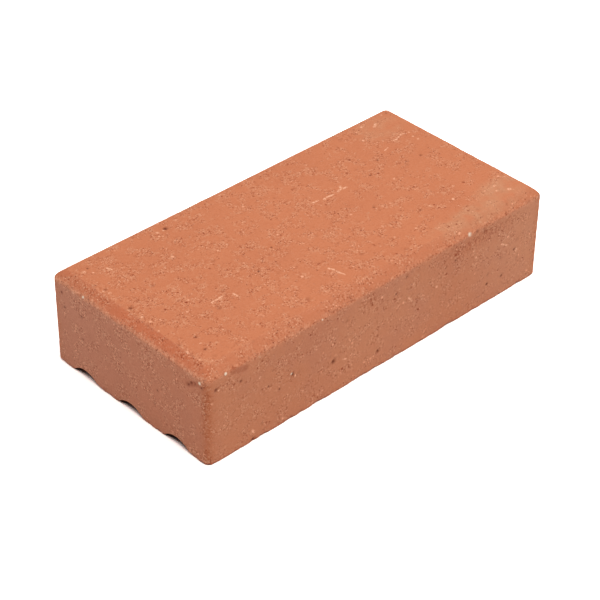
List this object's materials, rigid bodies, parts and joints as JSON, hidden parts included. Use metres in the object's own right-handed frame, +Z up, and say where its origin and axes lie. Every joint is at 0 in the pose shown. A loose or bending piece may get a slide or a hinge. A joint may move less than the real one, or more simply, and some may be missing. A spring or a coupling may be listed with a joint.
{
  "type": "clay paving brick",
  "caption": "Solid red fired-clay paving brick with a bevelled wearing face, rounded upright corners and shallow lengthwise grooves along its bed.",
  "frame": {"origin": "middle of the bed, the grooved face that the brick lies on", "axes": "+X along the length and the grooves, +Y across the width, +Z up towards the wearing face"},
  "size_m": [0.2, 0.099, 0.0475],
  "materials": {
    "fired_clay": "matt, unglazed, fine sandy grain"
  },
  "bodies": {
    "root": {"brick": "fired_clay"}
  },
  "joints": []
}
